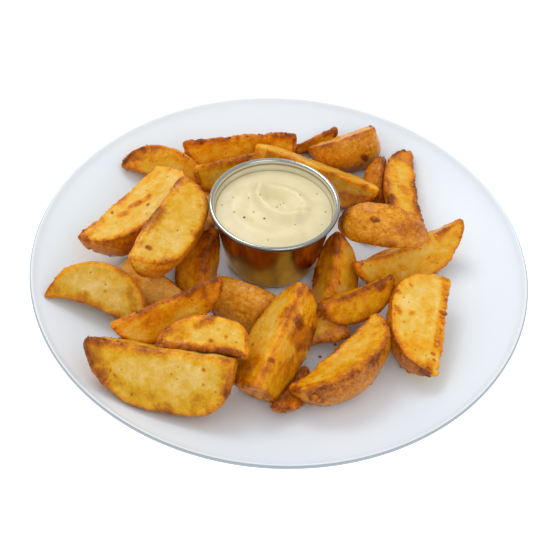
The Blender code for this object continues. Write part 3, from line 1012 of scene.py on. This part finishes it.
def skinShare(points, normals, tail, along, seed):  # 1 on the skin and 0 on the cut faces
    outward = points - tail
    outward = outward - (outward @ along)[:, None] * along
    reach = np.linalg.norm(outward, axis=1)
    outward /= reach[:, None] + 1e-9
    sideways = np.abs(rowDots(normals, np.cross(along, outward)))
    wobble = potato["skinWobble"] * grain(points, 3 * mm, seed)
    share = 1 - smoothStep(sideways + wobble, *potato["skinTurn"])
    share *= smoothStep(rowDots(normals, outward), *potato["skinFacing"])
    return share * smoothStep(reach / mm, *potato["skinReach"])


# each mark's change of browning, and how much of it each point gets
def spreadMarks(piece, points, marks, seed):
    surface = meshTree(piece)
    ragged = 1 + lumps(points, potato["ragged"], seed)
    for startAcross, startDown, endAcross, endDown, radius, change in marks:
        spots = ((startAcross, startDown), (endAcross, endDown))
        hits = [surface.ray_cast(eye, sightLine(*spot))[0] for spot in spots]
        ends = [np.array(hit) for hit in hits if hit]
        if ends:
            away = strokeDistance(points, (ends[0], ends[-1])) / mm
            share, most = potato["markSoftness"]
            soft = min(radius * share, most)
            yield change, 1 - smoothStep(away * ragged, radius - soft, radius + soft)


def makeWedge(node, look, seed):
    piece = startWedge(node, look.get("crease", potato["crease"]))
    tail, along, length = longAxis(readPoints(piece.data))
    long = length > potato["longOne"] * mm
    subdivideSmooth(piece, potato["longLevels"] if long else potato["shortLevels"])
    points, normals = readPoints(piece.data), readPoints(piece.data, "normal")
    edge = creaseDistance(piece, points) / mm
    skin = look.get("skin", 1) * skinShare(points, normals, tail, along, seed)
    # browning
    fry = look["fry"] * (1 - skin) + look["peel"] * skin
    fry += lumps(points, potato["clouds"], seed) + lumps(points, potato["flecks"], seed)
    blister = np.zeros(len(points))
    for change, share in spreadMarks(piece, points, look["marks"], seed):
        fry += change * share
        blister += max(change, 0) * share
    amount, width = potato["edgeBrown"]
    browned = amount * ridge(edge, width)
    for amount, width, size, ownSeed, low, high in potato["edgePatches"]:
        patches = smoothStep(lumps(points, (1, size, ownSeed), seed), low, high)
        browned += amount * ridge(edge, width) * patches
    fry += browned * (1 - 0.5 * skin)
    olive = look.get("olive", potato["olive"]) + lumps(points, potato["oliveClouds"], seed)
    amount, width = potato["edgeLessOlive"]
    olive = np.clip(olive, 0, 1) * (1 - amount * ridge(edge, width))
    # bulk, crust, blisters and wrinkles as real shape
    lift = potato["fullness"] + look.get("swell", 0) + potato["bulge"] * smoothStep(edge, 0, 6)
    lift += lumps(points, potato["bulk"], seed) + lumps(points, potato["dents"], seed)
    height, place, width = potato["rim"]
    lift += (height * ridge(edge - place, width) + lumps(points, potato["grit"], seed)) * (1 - skin)
    crust = potato["crustLeast"] + lumps(points, potato["crust"], seed)
    lift += look["rough"] * ridge(edge, potato["crustWidth"]) * crust
    amount, size, ownSeed = potato["blisterLumps"]
    bubbles = 1 - amount + amount * grain(points, size * mm, seed + ownSeed)
    lift += potato["blister"] * blister * bubbles
    depth, size, ownSeed = potato["wrinkles"]
    stretched = points @ (np.identity(3) - potato["wrinkleStretch"] * np.outer(along, along))
    lift += skin * depth * (0.25 - np.abs(lumps(stretched, (1, size, ownSeed), seed)))
    writePoints(piece.data, points + normals * (lift * mm)[:, None])
    storeLayers(piece, fry=np.clip(fry, 0, 1), olive=olive, skin=skin, edge=edge)
    bpy.ops.object.shade_smooth()
    finishPiece(piece, node.replace("wedge_", "potato_"), "potato", "fried_potato", node)
    return piece


potatoes = [makeWedge(node, look, order * 3.7) for order, (node, look) in enumerate(wedges.items())]
print("wedges made:", len(potatoes), sum(len(piece.data.polygons) for piece in potatoes), "faces")

crumbs = {
    "placed": [  # a place in the frame, the size in mm and how brown
        (444, 314, 1.5, 0.75), (441, 312, 1.0, 0.7), (315, 396, 1.7, 0.75), (319, 399, 1.1, 0.7),
        (371, 384, 0.9, 0.55), (218, 139, 0.9, 0.7), (229, 138, 1.0, 0.8), (238, 137, 0.8, 0.8),
        (247, 136, 1.0, 0.7), (273, 135, 1.1, 0.75), (283, 135, 1.0, 0.7), (412, 186, 0.9, 0.6),
        (415, 202, 1.0, 0.65), (436, 236, 0.9, 0.6), (447, 229, 0.8, 0.6), (272, 402, 1.2, 0.7),
        (344, 337, 0.8, 0.6), (335, 345, 0.8, 0.65), (320, 357, 0.9, 0.7), (264, 398, 1.0, 0.65),
        (443, 322, 1.4, 0.6), (441, 330, 1.0, 0.6), (437, 345, 1.3, 0.6), (446, 298, 1.1, 0.5),
        (433, 354, 1.1, 0.65), (446, 289, 0.9, 0.55), (430, 367, 1.3, 0.6), (448, 280, 0.9, 0.5),
        (442, 317, 1.2, 0.65), (446, 308, 0.8, 0.6), (438, 342, 0.8, 0.7), (434, 360, 0.9, 0.7),
        (148, 205, 1.0, 0.6), (140, 202, 0.9, 0.65), (112, 213, 1.0, 0.65),
    ],
    # finer grains strewn along the cut edges of each wedge
    "grainsEach": 26,
    "grainSize": (0.35, 0.75),
    "grainsWithin": 1.2,
    "grainsBrowner": 0.15,
    "grainsFrom": 0.3,  # only where the wedge is browner than this
    "pointsEach": 8,
    "standing": 0.3,
    "seed": 11,
    "flatness": (1.0, 0.8, 0.65),
    "ragged": 0.32,
}


def shapeCrumb(detail):
    bpy.ops.object.select_all(action="DESELECT")
    bpy.ops.mesh.primitive_ico_sphere_add(subdivisions=detail, radius=1)
    crumb = bpy.context.object
    points = readPoints(crumb.data)
    writePoints(crumb.data, points * (1 + crumbs["ragged"] * layeredGrain(points, 1.1, 4))[:, None])
    bpy.ops.object.shade_smooth()
    return crumb


def placeCrumb(model, place, size, brown, chance):
    crumb = model.copy()
    crumb.data = model.data.copy()
    bpy.context.scene.collection.objects.link(crumb)
    aboutZ = Matrix.Rotation(chance.uniform(0, 6), 3, "Z")
    turn = aboutZ @ Matrix.Rotation(chance.uniform(0, 6), 3, "X")
    flat = np.array(crumbs["flatness"]) * size * mm
    writePoints(crumb.data, readPoints(crumb.data) * flat @ np.array(turn).T + np.array(place))
    storeLayers(crumb, fry=np.full(len(crumb.data.vertices), brown))
    return crumb


def strewCrumbs():
    chance = random.Random(crumbs["seed"])
    model, small = shapeCrumb(3), shapeCrumb(1)
    surfaces = [meshTree(piece) for piece in potatoes + [platePiece]]
    made = []
    for across, down, size, brown in crumbs["placed"]:
        hits = [tree.ray_cast(eye, sightLine(across, down)) for tree in surfaces]
        place, facing = min((hit for hit in hits if hit[0]), key=lambda hit: hit[3])[:2]
        place = place + facing * size * crumbs["standing"] * mm
        made.append(placeCrumb(model, place, size, brown, chance))
    for piece in potatoes:
        points = readPoints(piece.data)
        fry, edge = readLayer(piece, "fry"), readLayer(piece, "edge")
        browned = fry > crumbs["grainsFrom"]
        likely = np.flatnonzero((edge < crumbs["grainsWithin"]) & browned)
        for _ in range(min(crumbs["grainsEach"], len(likely) // crumbs["pointsEach"])):
            spot = likely[chance.randrange(len(likely))]
            size, brown = chance.uniform(*crumbs["grainSize"]), fry[spot] + crumbs["grainsBrowner"]
            made.append(placeCrumb(small, points[spot], size, brown, chance))
    for spare in (model, small):
        bpy.data.objects.remove(spare)
    finishPiece(joinPieces(made), "crumbs", "potato", "fried_potato")


strewCrumbs()
print("crumbs made")

floorLook = {"size": 6, "height": -0.0002, "colour": (0.8, 0.8, 0.8, 1), "glow": 0.55}


def layFloor():
    bpy.ops.object.select_all(action="DESELECT")
    bpy.ops.mesh.primitive_plane_add(size=floorLook["size"], location=(0, 0, floorLook["height"]))
    floor = bpy.context.object
    floor.name = "floor"
    material, _, shader = newMaterial("paleFloor", Roughness=0.7, Base_Color=floorLook["colour"])
    shader.inputs["Emission Color"].default_value = (1, 1, 1, 1)
    shader.inputs["Emission Strength"].default_value = floorLook["glow"]
    floor.data.materials.append(material)


layFloor()
